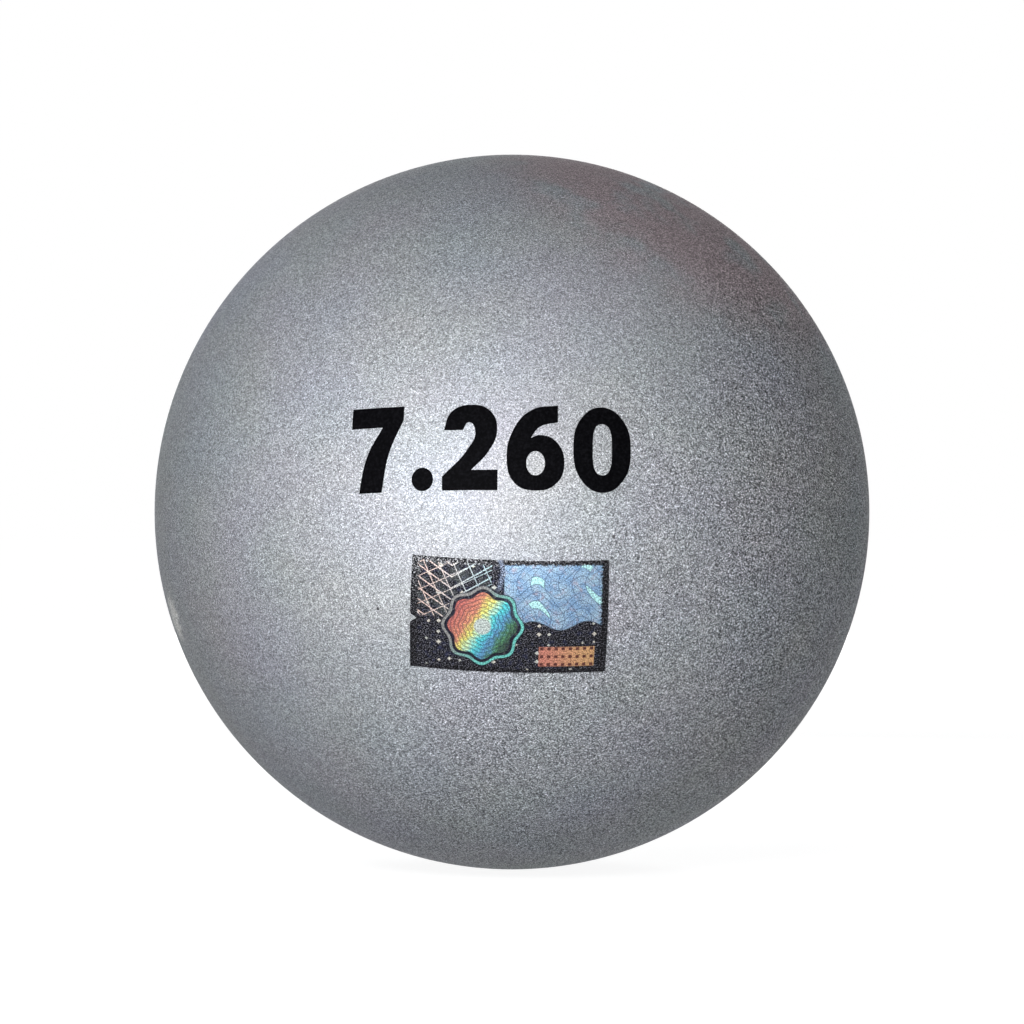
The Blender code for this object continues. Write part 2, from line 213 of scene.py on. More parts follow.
def plainMesh(thing):
    # the mesh that an object comes to with its modifiers
    graph = bpy.context.evaluated_depsgraph_get()
    return bpy.data.meshes.new_from_object(thing.evaluated_get(graph))


def tidyMesh(mesh, sharpAngle):
    bm = bmesh.new()
    bm.from_mesh(mesh)
    bmesh.ops.remove_doubles(bm, verts=bm.verts, dist=meshGaps["doubles"])
    bmesh.ops.dissolve_degenerate(bm, edges=bm.edges, dist=meshGaps["tinyEdge"])
    bmesh.ops.recalc_face_normals(bm, faces=bm.faces)
    bm.to_mesh(mesh)
    bm.free()
    mesh.shade_smooth()
    mesh.set_sharp_from_angle(angle=math.radians(sharpAngle))
    return mesh


def placeObject(name, mesh, material=None):
    mesh.name = name
    if material is not None:
        mesh.materials.clear()
        mesh.materials.append(material)
    return linkObject(name, mesh)


def turnPiece(name, sizes, profile, material, sharpAngle):
    # the profile gives rows of a zone, its steps and its sizes; the tree joins them, closes the seam and
    # the poles, runs on an empty mesh, and is kept as the plain mesh that it makes
    inputs = [(key, "Int" if isinstance(value, int) else "Float", value) for key, value in sizes.items()]
    tree, given, result = newTree(name, "Geometry", inputs, [("geometry", "Geometry")])
    joined = addNode(tree, "GeometryNodeJoinGeometry")
    for kind, *values in profile(given):
        zone = nodeAfter("GeometryNodeGroup", given["segments"], *values, node_tree=zones[kind])
        feed(joined.inputs[0], zone.outputs[0])
    merged = nodeAfter("GeometryNodeMergeByDistance", joined.outputs[0], None, meshGaps["seam"])
    smooth = nodeAfter("GeometryNodeSetShadeSmooth", merged.outputs[0])
    real = nodeAfter("GeometryNodeRealizeInstances", smooth.outputs[0])
    painted = nodeAfter("GeometryNodeSetMaterial", real.outputs[0], None, material)
    feed(result["geometry"], painted.outputs[0])

    carrier = linkObject(name + "Carrier", bpy.data.meshes.new(name + "Carrier"))
    modifier = carrier.modifiers.new(name, "NODES")
    modifier.node_group = tree
    for item in tree.interface.items_tree:
        if item.in_out == "INPUT":
            modifier[item.identifier] = sizes[item.name]
    mesh = plainMesh(carrier)
    carrier.modifiers.remove(modifier)
    bpy.data.objects.remove(carrier)
    return placeObject(name, tidyMesh(mesh, sharpAngle))


def heightAt(reach, radius):
    # height of a ring of that radius on a ball of that reach
    return calc("SQRT", minus(times(reach, reach), times(radius, radius)))


def angleAt(reach, radius):
    return calc("ARCSINE", over(radius, reach))


# surface effects that several finishes share

flake = {
    "toneCurve": 1.5,        # a few cells are much brighter than the rest
    "meanTone": 0.4,         # what the curve comes to on average
    "meanDistance": 0.48,    # taken as a point's mean distance from its cell's middle
    "glintRange": (0.9, 0.97),
    "glintGain": 0.25,
    "leastTone": 0.05,
}


def makeFlakeGrain():
    # metal flakes in paint: each cell has its own tone, a bright middle and its own small tilt
    inputs = [("position", "Vector"), ("cells", "Float", 3000.0), ("contrast", "Float", 0.5),
              ("middle", "Float", 0.0), ("tilt", "Float", 0.3)]
    outputs = [("tone", "Float"), ("normal", "Vector"), ("glint", "Float")]
    tree, given, result = newTree("flakeGrain", "Shader", inputs, outputs)
    cells = cellsOf(given["position"], given["cells"])
    chance, otherChance, _ = splitVector(cells["Color"])
    shade = minus(calc("POWER", chance, flake["toneCurve"]), flake["meanTone"])
    glint = ease(otherChance, *flake["glintRange"])
    tone = scaleAdd(shade, given["contrast"], 1.0)
    tone = scaleAdd(minus(flake["meanDistance"], cells["Distance"]), given["middle"], tone)
    tone = scaleAdd(glint, flake["glintGain"], tone)
    tilt = vectorCalc("SUBTRACT", cells["Color"], (0.5, 0.5, 0.5))
    tilt = vectorCalc("SCALE", tilt, scale=given["tilt"])
    normal = vectorCalc("ADD", addNode(tree, "ShaderNodeNewGeometry").outputs["Normal"], tilt)
    feed(result["tone"], most(tone, flake["leastTone"]))
    feed(result["normal"], vectorCalc("NORMALIZE", normal))
    feed(result["glint"], glint)
    return tree


def makeSoftMottle():
    # faint clouds of a cooler and a warmer tint
    inputs = [("position", "Vector"), ("base", "Color", (0.5, 0.5, 0.5, 1)), ("amount", "Float", 0.1)]
    tree, given, result = newTree("softMottle", "Shader", inputs, [("colour", "Color")])
    cloud = noise(given["position"], 55.0, 3.0, output="Color")
    shift = vectorCalc("SUBTRACT", cloud, (0.5, 0.5, 0.5))
    shift = vectorCalc("MULTIPLY", shift, (1.0, 0.7, 1.2))
    shift = vectorCalc("SCALE", shift, scale=given["amount"])
    gain = vectorCalc("ADD", shift, (1.0, 1.0, 1.0))
    feed(result["colour"], vectorCalc("MULTIPLY", given["base"], gain))
    return tree


def fromAxis(position):
    # distance from the Y axis
    return vectorCalc("LENGTH", vectorCalc("MULTIPLY", position, (1, 0, 1)))


def makeToolMarks():
    # fine rings that a turning tool leaves, across the radius or along the axis
    inputs = [("position", "Vector"), ("spacing", "Float", 0.0002)]
    tree, given, result = newTree("toolMarks", "Shader", inputs, [("height", "Float"), ("tone", "Float")])
    path = plus(fromAxis(given["position"]), splitVector(given["position"])[1])
    path = over(path, given["spacing"])
    fine = noise(joinVector(path, 0.0, 0.0), 1.0, 3.0)
    wide = noise(joinVector(times(path, 0.07), 0.0, 0.0), 1.0)
    feed(result["height"], fine)
    feed(result["tone"], scaleAdd(fine, 0.25, scaleAdd(wide, 0.3, 0.72)))
    return tree


groups = {"flakes": makeFlakeGrain(), "mottle": makeSoftMottle(), "marks": makeToolMarks()}


def useGroup(name, position, **values):
    node = nodeAfter("ShaderNodeGroup", position, node_tree=groups[name])
    for key, value in values.items():
        feed(node.inputs[key], value)
    return node.outputs


def newMaterial(name, **constants):
    material = bpy.data.materials.new(name)
    material.use_nodes = True
    shader = material.node_tree.nodes["Principled BSDF"]
    for key, value in constants.items():
        shader.inputs[key].default_value = value
    return material, shader, addNode(material.node_tree, "ShaderNodeTexCoord").outputs["Object"]


def paint(shader, colour, roughness, metallic=None, normal=None):
    given = {"Base Color": colour, "Roughness": roughness, "Metallic": metallic, "Normal": normal}
    for key, value in given.items():
        feed(shader.inputs[key], value)


def addBump(shader, height, depth, strength, invert=False):
    bump = nodeAfter("ShaderNodeBump", strength, depth, None, height, invert=invert)
    feed(shader.inputs["Normal"], bump.outputs[0])


# the silver coat, in metres: a range is from, to and the values at both, or 0 and 1 where none are given,
# and a cloud is its scale and detail

coatLook = {
    "colour": (0.328, 0.343, 0.369, 1),
    "mottle": 0.14,
    "roughness": 0.63,
    "glintRoughness": -0.12,                 # a glinting flake is smoother
    "flakesPerMetre": 5500.0,
    "dustPerMetre": 8200.0,
    "flakeContrast": 0.73,
    "flakeMiddle": 1.0,
    "dustContrast": 1.02,
    "tilt": 0.22,
    "grazingSide": (0.8, -0.05, -0.6),         # the flake grain is painted stronger on this side, where the lamps graze it: painted glints
    "grazingRange": (-0.003, 0.024, 1.0, 1.52),
    "rightGrazingRange": (0.026, 0.04, 0.0, 0.5),   # and more so at the right, also painted glints
    "highlightPlace": (-0.006, -0.061, 0.0),      # and weaker in the middle of the front, under its highlight: painted light as well
    "highlightRange": (0.0, 0.03, 0.7, 1.0),
    # a painted reflection: the coat turns darker and pinkish in ragged clouds at the upper right
    "reflectionSide": (0.48, -0.25, 0.84),
    "reflectionRange": (0.049, 0.058),
    "reflectionCloud": (110.0, 4.0),
    "reflectionCloudRange": (0.32, 0.52),
    "reflectionColour": (0.337, 0.286, 0.305, 1),
    "paintRange": (0.0602, 0.0606),          # the paint covers what lies that far from the centre
    "bareSteel": (0.16, 0.15, 0.14, 1),
    "bareMottle": 0.6,
}
coatConstants = {"Metallic": 0.4, "Specular IOR Level": 0.15, "Specular Tint": (0.2, 0.2, 0.2, 1)}

# small patches with ragged edges: a pale scuff at the left rim and a few dark nicks
coatPatches = [
    {"places": [(-0.0561, -0.0161, -0.0177)], "cloud": (700.0, 4.0), "ragged": 0.006,
     "range": (0.0082, 0.0046, 0.0, 0.75), "colour": (0.8, 0.8, 0.78, 1)},
    {"places": [(0.0154, -0.0589, -0.0038), (-0.0205, -0.0555, -0.0148), (0.046, 0.0312, 0.0252),
                (-0.02, 0.021, 0.0537)], "cloud": (3000.0, 1.0), "ragged": 0.0003,
     "range": (0.00045, 0.0003), "colour": (0.07, 0.07, 0.075, 1)},
]


def grainGainByLight(position):
    # how strong the flake grain is: painted stronger where the lamps graze the ball and weaker under the
    # front's highlight
    grazing = vectorCalc("DOT_PRODUCT", position, coatLook["grazingSide"])
    right = ease(splitVector(position)[0], *coatLook["rightGrazingRange"])
    fromHighlight = vectorCalc("DISTANCE", position, coatLook["highlightPlace"])
    gain = plus(ease(grazing, *coatLook["grazingRange"]), right)
    return times(gain, ease(fromHighlight, *coatLook["highlightRange"]))


def coatTint(position):
    tint = useGroup("mottle", position, base=coatLook["colour"], amount=coatLook["mottle"])["colour"]
    # painted reflection, darker and pinkish, in clouds on the upper right of the ball
    warm = ease(vectorCalc("DOT_PRODUCT", position, coatLook["reflectionSide"]), *coatLook["reflectionRange"])
    cloud = ease(noise(position, *coatLook["reflectionCloud"]), *coatLook["reflectionCloudRange"])
    tint = blend(times(warm, cloud), tint, coatLook["reflectionColour"])
    for patch in coatPatches:
        for place in patch["places"]:
            off = vectorCalc("DISTANCE", position, place)
            off = scaleAdd(noise(position, *patch["cloud"]), patch["ragged"], off)
            tint = blend(ease(off, *patch["range"]), tint, patch["colour"])
    return tint


def addCoat(position):
    # colour, roughness and normal of the silver flake paint
    gain = grainGainByLight(position)
    flakes = useGroup("flakes", position, cells=coatLook["flakesPerMetre"], tilt=coatLook["tilt"],
                      contrast=times(gain, coatLook["flakeContrast"]),
                      middle=times(gain, coatLook["flakeMiddle"]))
    dust = useGroup("flakes", position, cells=coatLook["dustPerMetre"], tilt=0.0,
                    contrast=times(gain, coatLook["dustContrast"]))
    colour = vectorCalc("SCALE", coatTint(position), scale=times(flakes["tone"], dust["tone"]))
    rough = scaleAdd(flakes["glint"], coatLook["glintRoughness"], coatLook["roughness"])
    return colour, rough, flakes["normal"]


def makeSilverCoat():
    # the paint lies on the outside; the cavity and the hole are bare pressed steel
    material, shader, position = newMaterial("silverCoat", **coatConstants)
    colour, rough, normal = addCoat(position)
    outside = ease(vectorCalc("LENGTH", position), *coatLook["paintRange"])
    steel = useGroup("mottle", position, base=coatLook["bareSteel"], amount=coatLook["bareMottle"])
    paint(shader, blend(outside, steel["colour"], colour), rough, normal=normal)
    return material


bushSteel = {"colour": (0.42, 0.42, 0.43, 1), "mottle": 0.25, "roughness": 0.2, "spacing": 0.00018}
plugSteel = {"colour": (0.3, 0.3, 0.31, 1), "mottle": 0.3, "roughness": 0.22, "spacing": 0.00018}
steelMetallic = 0.95


def addSteel(position, look):
    # colour, roughness and height of turned steel
    marks = useGroup("marks", position, spacing=look["spacing"])
    base = useGroup("mottle", position, base=look["colour"], amount=look["mottle"])["colour"]
    rough = scaleAdd(marks["tone"], 0.15, look["roughness"])
    return vectorCalc("SCALE", base, scale=marks["tone"]), rough, marks["height"]


def makeTurnedSteel():
    material, shader, position = newMaterial("turnedSteel", Metallic=steelMetallic)
    colour, rough, height = addSteel(position, bushSteel)
    paint(shader, colour, rough)
    addBump(shader, height, 0.00001, 0.4)
    return material


plugWear = {"cloud": (900.0, 4.0), "ragged": 0.0016, "mouthRange": (0.0052, 0.0056), "edgeShare": 0.25}


def makePlugFinish():
    # painted dome over a turned steel body; the key has rubbed the paint off round the socket's mouth
    material, shader, position = newMaterial("plugFinish", **coatConstants)
    colour, rough, normal = addCoat(position)
    steel, steelRough, _ = addSteel(position, plugSteel)
    patch = times(noise(position, *plugWear["cloud"]), plugWear["ragged"])
    clear = ease(minus(fromAxis(position), patch), *plugWear["mouthRange"])
    reach = scaleAdd(patch, plugWear["edgeShare"], vectorCalc("LENGTH", position))
    painted = times(ease(reach, *coatLook["paintRange"]), clear)
    metallic = ease(painted, 0.0, 1.0, steelMetallic, coatConstants["Metallic"])
    rough = ease(painted, 0.0, 1.0, steelRough, rough)
    paint(shader, blend(painted, steel, colour), rough, metallic, normal)
    return material


# finishes of two colours in clouds or in crystal cells; rough is the roughness and what the second colour
# adds to it, and bump is scale, detail, depth and strength
cloudyFinishes = {
    "annealedCopper": {
        "metallic": 1.0, "cloud": (420.0, 4.0), "range": (0.35, 0.7), "rough": (0.28, 0.2),
        "colours": ((0.72, 0.34, 0.2, 1), (0.48, 0.2, 0.13, 1)), "bump": (1500.0, 3.0, 0.00002, 0.4)},
    "punchedLead": {
        "metallic": 0.85, "cloud": (260.0, 5.0), "range": (0.35, 0.7), "rough": (0.65, -0.15),
        "colours": ((0.2, 0.21, 0.23, 1), (0.33, 0.34, 0.36, 1)), "bump": (900.0, 4.0, 0.00005, 0.5)},
    "zincPlate": {
        "metallic": 0.95, "cells": 260.0, "rough": (0.28, 0.15),
        "colours": ((0.42, 0.45, 0.48, 1), (0.6, 0.62, 0.64, 1)), "bump": (700.0, 3.0, 0.00003, 0.4)},
    "blackRubber": {
        "metallic": 0.0, "cloud": (300.0, 4.0), "rough": (0.65, 0.2),
        "colours": ((0.014, 0.014, 0.015, 1), (0.04, 0.04, 0.042, 1)), "bump": (2500.0, 2.0, 0.00004, 0.5)},
}


def makeCloudyFinish(name):
    look = cloudyFinishes[name]
    material, shader, position = newMaterial(name, Metallic=look["metallic"])
    if "cells" in look:
        cloud = splitVector(cellsOf(position, look["cells"])["Color"])[0]
    else:
        cloud = noise(position, *look["cloud"])
    if "range" in look:
        cloud = ease(cloud, *look["range"])
    rough, change = look["rough"]
    paint(shader, blend(cloud, *look["colours"]), scaleAdd(cloud, change, rough))
    scale, detail, depth, strength = look["bump"]
    addBump(shader, noise(position, scale, detail), depth, strength)
    return material


ballastLook = {
    "shotsPerMetre": 420.0,
    "evenness": 0.7,
    "leadRange": (0.42, 0.34),
    "lead": (0.24, 0.25, 0.27, 1),
    "leadMottle": 0.5,
    "leadMetallic": 0.85,
    "resin": (0.02, 0.018, 0.016, 1),
    "roughness": (0.3, 0.55),    # of the resin and of the lead
}


def makeBallastFinish():
    # round lead shot packed in dark resin
    material, shader, position = newMaterial("leadShotInResin")
    off = cellsOf(position, ballastLook["shotsPerMetre"], ballastLook["evenness"])["Distance"]
    lead = ease(off, *ballastLook["leadRange"])
    tone = useGroup("mottle", position, base=ballastLook["lead"], amount=ballastLook["leadMottle"])["colour"]
    rough = ease(lead, 0.0, 1.0, *ballastLook["roughness"])
    paint(shader, blend(lead, ballastLook["resin"], tone), rough, times(lead, ballastLook["leadMetallic"]))
    addBump(shader, off, 0.0006, 0.5, invert=True)
    return material


def makeInk():
    material, shader, position = newMaterial("blackInk", **{"Specular IOR Level": 0.01})
    cloud = noise(position, 2400.0, 3.0, 0.7)
    colour = blend(ease(cloud, 0.4, 0.75), (0.0012, 0.0012, 0.0016, 1), (0.006, 0.006, 0.0075, 1))
    paint(shader, colour, scaleAdd(cloud, 0.2, 0.45))
    addBump(shader, noise(position, 2600.0), 0.00002, 0.4)
    return material


# the foil label, in metres and degrees

label = {
    "width": 0.0304,
    "height": 0.0178,
    "film": 0.00009,
    "reach": 0.06101,
    "rise": -15.25,
    "side": -0.45,
    "roll": -1.7,
    "columns": 152,
    "rows": 89,
    "wrinkle": 0.00003,
    "wrinklesPerMetre": 420,
    "raggedness": 0.00009,
    "raggedPerMetre": 2600,
    "raggedMargin": 0.03,     # as a share of the width
    "notchPlace": 0.008,
    "notchDepth": 0.001,
    "notchHalf": 0.0004,
    "notchReach": 0.15,       # as a share of the width
    "creasePlace": 0.0137,
    "creaseLength": 0.0052,
    "creaseHalf": 0.00022,
    "creaseLift": 0.00009,
    "creaseSwing": 0.0004,
    "creaseRate": 900,
}

# its generic security print, in millimetres from the lower left corner: lines give their spacing, width
# and softness, bands their middle, half width and softness, and waves their rate and swing
foilPrint = {
    "lozengeCell": (1.7, 1.5),
    "leftFieldRight": (12.6, 12.2),
    "leftFieldLow": (8.4, 8.8),
    "foldPlace": 6.3,
    "foldSlope": 0.62,
    "chevrons": (1.75, 0.2, 0.07),
    "slants": (2.3, 0.14, 0.07),
    "slantLean": 0.5,
    "steepLines": (4.1, 0.22, 0.1),
    "steepLean": -1.9,
    "rightFieldLeft": (14.2, 14.6),
    "rightFieldLow": 7.6,
    "rightFieldWave": (0.75, 0.7),
    "netRows": (1.25, 0.1, 0.07),
    "rowWave": (0.9, 1.1),
    "netColumns": (2.1, 0.1, 0.07),
    "columnWave": (0.55, 1.6),
    "rosettePlace": (11.2, 7.4),
    "rosetteReach": 5.0,
    "lobes": 8.0,
    "lobeDepth": 0.34,
    "rings": (0.62, 0.16, 0.07),
    "petals": (math.tau / 16, 0.03, 0.03),    # in radians
    "hub": (1.5, 1.1),
    "halo": (0.75, 0.22, 0.08),
    "gap": (1.25, 1.0, 0.0, 0.9),
    "rainbowLean": -0.62,
    "rainbowDrift": 3.0,
    "panelAcross": (24.2, 4.3, 0.1),
    "panelUp": (2.7, 1.6, 0.1),
    "dashes": (1.1, 0.55, 0.1),
    "dashRows": (1.3, 0.5, 0.1),
    "borderLeft": 1.15,
    "borderRight": 29.3,
    "borderLow": 0.6,
    "borderTop": 17.1,
    "borderRagged": 1.6,
}

rainbow = [
    (0.0, (0.55, 0.16, 0.15, 1)), (0.2, (0.75, 0.3, 0.2, 1)), (0.36, (0.85, 0.82, 0.22, 1)),
    (0.5, (0.55, 0.85, 0.62, 1)), (0.64, (0.12, 0.72, 0.78, 1)), (0.8, (0.14, 0.35, 0.62, 1)),
    (0.92, (0.1, 0.26, 0.14, 1)), (1.0, (0.05, 0.06, 0.06, 1)),
]


def band(value, middle, half, soft):
    # 1 where the value is within half of the middle
    return ease(gapTo(value, middle), half + soft, half - soft)


def stripes(value, spacing, width, soft):
    # thin lines, one in the middle of each spacing
    off = times(gapTo(fraction(over(value, spacing)), 0.5), spacing)
    return ease(off, width / 2 + soft, width / 2 - soft)


def addLozenges(x, y, colour):
    # small pale lozenges on the dark ground, in some of the cells
    cell = over(x, foilPrint["lozengeCell"][0]), over(plus(y, 0.5), foilPrint["lozengeCell"][1])
    chance = chanceOf(wholePart(cell[0]), wholePart(cell[1]), 4.0)
    *shift, size = splitVector(chance["Color"])
    off = [gapTo(fraction(place), scaleAdd(share, 0.4, 0.3)) for place, share in zip(cell, shift)]
    edge = minus(plus(*off), scaleAdd(size, 0.14, 0.12))
    lozenge = times(ease(edge, 0.06, -0.04), ease(chance["Value"], 0.60, 0.62))
    return blend(lozenge, colour, blend(chance["Value"], (0.35, 0.5, 0.55, 1), (0.75, 0.7, 0.62, 1)))


def addChevrons(x, y, speckle, cloud, colour):
    # upper left: chevrons and slanted lines, pale on the dark ground
    field = times(ease(x, *foilPrint["leftFieldRight"]), ease(y, *foilPrint["leftFieldLow"]))
    fold = times(gapTo(x, foilPrint["foldPlace"]), foilPrint["foldSlope"])
    lines = stripes(minus(y, fold), *foilPrint["chevrons"])
    lines = most(lines, stripes(scaleAdd(y, foilPrint["slantLean"], x), *foilPrint["slants"]))
    lines = most(lines, stripes(scaleAdd(y, foilPrint["steepLean"], x), *foilPrint["steepLines"]))
    tint = blend(ease(x, 2.0, 12.0), (0.8, 0.62, 0.56, 1), (0.5, 0.66, 0.72, 1))
    haze = times(field, ease(cloud, 0.45, 0.6, 0.0, 0.35))
    colour = blend(haze, colour, (0.13, 0.15, 0.15, 1))
    return blend(times(times(lines, field), ease(speckle, 0.3, 0.5, 0.55, 1.0)), colour, tint)


def addWaveNet(x, y, speckle, cloud, drift, colour):
    # upper right: pale blue field with a fine dark wave net and a few light facets
    fromEdge = minus(y, sway(x, *foilPrint["rightFieldWave"], foilPrint["rightFieldLow"]))
    field = times(ease(x, *foilPrint["rightFieldLeft"]), ease(fromEdge, 0.0, 0.3))
    blue = blend(ease(cloud, 0.35, 0.65), (0.24, 0.4, 0.62, 1), (0.36, 0.52, 0.68, 1))
    blue = blend(ease(drift, 0.5, 0.8), blue, (0.42, 0.4, 0.5, 1))
    up, across = sway(x, *foilPrint["rowWave"], y), sway(y, *foilPrint["columnWave"], x)
    net = most(stripes(up, *foilPrint["netRows"]), stripes(across, *foilPrint["netColumns"]))
    column = wholePart(plus(over(across, foilPrint["netColumns"][0]), 0.5))
    row = wholePart(plus(over(up, foilPrint["netRows"][0]), 0.5))
    light = ease(chanceOf(column, row, 2.0)["Value"], 0.86, 0.88)
    blue = blend(light, blue, (0.5, 0.85, 0.88, 1))
    blue = blend(times(net, ease(speckle, 0.3, 0.55, 0.5, 1.0)), blue, (0.06, 0.1, 0.2, 1))
    return blend(field, colour, blue)


def addRosette(x, y, speckle, drift, colour):
    # eight shallow lobes, rainbow bands across them and fine engraved rings
    offX, offY = minus(x, foilPrint["rosettePlace"][0]), minus(y, foilPrint["rosettePlace"][1])
    away = vectorCalc("LENGTH", joinVector(offX, offY, 0.0))
    turn = calc("ARCTAN2", offY, offX)
    ripple = cosine(times(turn, foilPrint["lobes"]))
    lobes = scaleAdd(ripple, foilPrint["lobeDepth"], foilPrint["rosetteReach"])
    fromRim = minus(away, lobes)
    across = scaleAdd(offY, foilPrint["rainbowLean"], offX)
    across = scaleAdd(minus(drift, 0.5), foilPrint["rainbowDrift"], across)
    ramp = nodeAfter("ShaderNodeValToRGB", ease(across, -6.5, 6.5))
    for number, (spot, shade) in enumerate(rainbow):
        stop = ramp.color_ramp.elements[number] if number < 2 else ramp.color_ramp.elements.new(spot)
        stop.position = spot
        stop.color = shade
    rings = stripes(minus(away, times(lobes, 0.4)), *foilPrint["rings"])
    petals = stripes(scaleAdd(away, 0.35, turn), *foilPrint["petals"])
    marks = times(most(rings, petals), ease(speckle, 0.4, 0.6, 0.35, 0.85))
    face = blend(marks, ramp.outputs["Color"], (0.03, 0.06, 0.08, 1))
    face = blend(ease(away, *foilPrint["hub"]), face, (0.55, 0.62, 0.6, 1))
    haloTint = blend(ease(across, -4.0, 4.0), (0.28, 0.28, 0.28, 1), (0.18, 0.6, 0.55, 1))
    colour = blend(ease(fromRim, *foilPrint["gap"]), colour, (0.02, 0.02, 0.035, 1))
    colour = blend(band(fromRim, *foilPrint["halo"]), colour, haloTint)
    return blend(ease(fromRim, 0.08, -0.08), colour, face)


def addWarmPanel(x, y, colour):
    # lower right: a warm panel with rows of dashes
    panel = times(band(x, *foilPrint["panelAcross"]), band(y, *foilPrint["panelUp"]))
    dashes = times(stripes(x, *foilPrint["dashes"]), stripes(plus(y, 0.55), *foilPrint["dashRows"]))
    warm = blend(ease(x, 20.0, 28.0), (0.62, 0.25, 0.19, 1), (0.68, 0.4, 0.2, 1))
    return blend(panel, colour, blend(dashes, warm, (0.14, 0.05, 0.045, 1)))


def addBorder(x, y, dust, colour):
    # speckled dark border, worn through to bare foil in places
    left, right, low, top = pick(foilPrint, "borderLeft", "borderRight", "borderLow", "borderTop")
    inward = least(least(minus(x, left), minus(right, x)), least(minus(y, low), minus(top, y)))
    ragged = minus(noise(joinVector(x, y, 0.0), 2.6, 3.0, 0.8), 0.5)
    edge = plus(inward, times(ragged, foilPrint["borderRagged"]))
    dark = blend(dust, (0.002, 0.002, 0.003, 1), (0.13, 0.128, 0.15, 1))
    colour = blend(ease(edge, 0.08, -0.08), colour, dark)
    chips = scaleAdd(y, 0.012, noise(joinVector(x, y, 5.0), 3.2, 3.0, 0.75))
    chips = scaleAdd(x, -0.003, chips)  # more of them at the top left
    chips = times(ease(chips, 0.724, 0.784), ease(inward, 0.4, 0.0))
    return blend(chips, colour, (0.5, 0.51, 0.54, 1))


def addCreaseHighlight(x, y, speckle, colour):
    # a pale strip painted along the crease: a painted highlight on the fold
    bend = sway(y, label["creaseRate"] / 1000, label["creaseSwing"] * 1000, 0.0)
    crease = band(minus(x, bend), label["creasePlace"] * 1000, 0.35, 0.25)
    crease = times(crease, ease(y, 12.4, 14.0, 0.0, 0.6))
    return blend(times(crease, ease(speckle, 0.35, 0.6)), colour, (0.34, 0.42, 0.6, 1))


def makeFoil():
    material, shader, _ = newMaterial("foilPrint", Metallic=0.45, **{"Specular IOR Level": 0.12})
    u, v, _ = splitVector(addNode(shader.id_data, "ShaderNodeUVMap", uv_map="print").outputs["UV"])
    x, y = times(u, label["width"] * 1000), times(v, label["height"] * 1000)
    sheet = joinVector(x, y, 0.0)
    speckle = noise(sheet, 4.6, 2.0, 0.8)
    cloud = noise(sheet, 0.5, 3.0)
    drift = noise(joinVector(x, y, 9.0), 1.3, 3.0)
    dust = ease(speckle, 0.5, 0.68)
    colour = blend(dust, (0.002, 0.002, 0.004, 1), (0.2, 0.2, 0.24, 1))
    colour = blend(ease(drift, 0.5, 0.8), colour, (0.03, 0.035, 0.08, 1))
    colour = addLozenges(x, y, colour)
    colour = addChevrons(x, y, speckle, cloud, colour)
    colour = addWaveNet(x, y, speckle, cloud, drift, colour)
    colour = addRosette(x, y, speckle, drift, colour)
    colour = addWarmPanel(x, y, colour)
    colour = addBorder(x, y, dust, colour)
    colour = addCreaseHighlight(x, y, speckle, colour)
    grain = scaleAdd(ease(speckle, 0.25, 0.75), 1.15, 0.12)
    paint(shader, vectorCalc("SCALE", colour, scale=grain), scaleAdd(speckle, 0.2, 0.28))
    addBump(shader, speckle, 0.00002, 0.5)
    return material


materials = {
    "coat": makeSilverCoat(),
    "steel": makeTurnedSteel(),
    "plug": makePlugFinish(),
    "copper": makeCloudyFinish("annealedCopper"),
    "ballast": makeBallastFinish(),
    "lead": makeCloudyFinish("punchedLead"),
    "zinc": makeCloudyFinish("zincPlate"),
    "rubber": makeCloudyFinish("blackRubber"),
    "ink": makeInk(),
    "foil": makeFoil(),
}
print("materials made")


# the coated ball: both half shells and the welds, ground flush and painted over as one skin

ball = {
    "ballRadius": 0.061,
    "wall": 0.008,
    "openingRadius": 0.0163,
    "lipRadius": 0.0004,
    "bushHoleRadius": 0.0192,
    "coatThickness": 0.0002,
    "segments": 240,
    "outerSteps": 150,
    "innerSteps": 60,
}


def ballProfile(size):
    radius, opening, lip, hole = pick(size, "ballRadius", "openingRadius", "lipRadius", "bushHoleRadius")
    # the lip is a small round between the ball's surface and the opening's wall
    lipRing = plus(opening, lip)
    lipReach = minus(radius, lip)
    lipAngle = angleAt(lipReach, lipRing)
    lipHeight = heightAt(lipReach, lipRing)
    # under the lip the coat ends on the bush's rim, and the hole's wall runs down to the cavity
    under = minus(radius, plus(size["coatThickness"], lip))
    cavity = minus(radius, size["wall"])
    return [
        ("arc", size["outerSteps"], 0.0, 0.0, radius, lipAngle, math.pi),
        ("arc", 6, lipRing, lipHeight, lip, -quarter, lipAngle),
        ("line", 2, opening, lipHeight, opening, heightAt(under, opening)),
        ("arc", 4, 0.0, 0.0, under, angleAt(under, opening), angleAt(under, hole)),
        ("line", 6, hole, heightAt(under, hole), hole, heightAt(cavity, hole)),
        ("arc", size["innerSteps"], 0.0, 0.0, cavity, angleAt(cavity, hole), math.pi),
    ]


coatedBall = turnPiece("coated_ball", ball, ballProfile, materials["coat"], sharpAngle=40)
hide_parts("front_shell", "rear_shell", "girth_weld", "port_weld")
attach(coatedBall, "shot")
print("ball made,", len(coatedBall.data.polygons), "faces")


# the port: bush, plug and washer, all turned about the Y axis

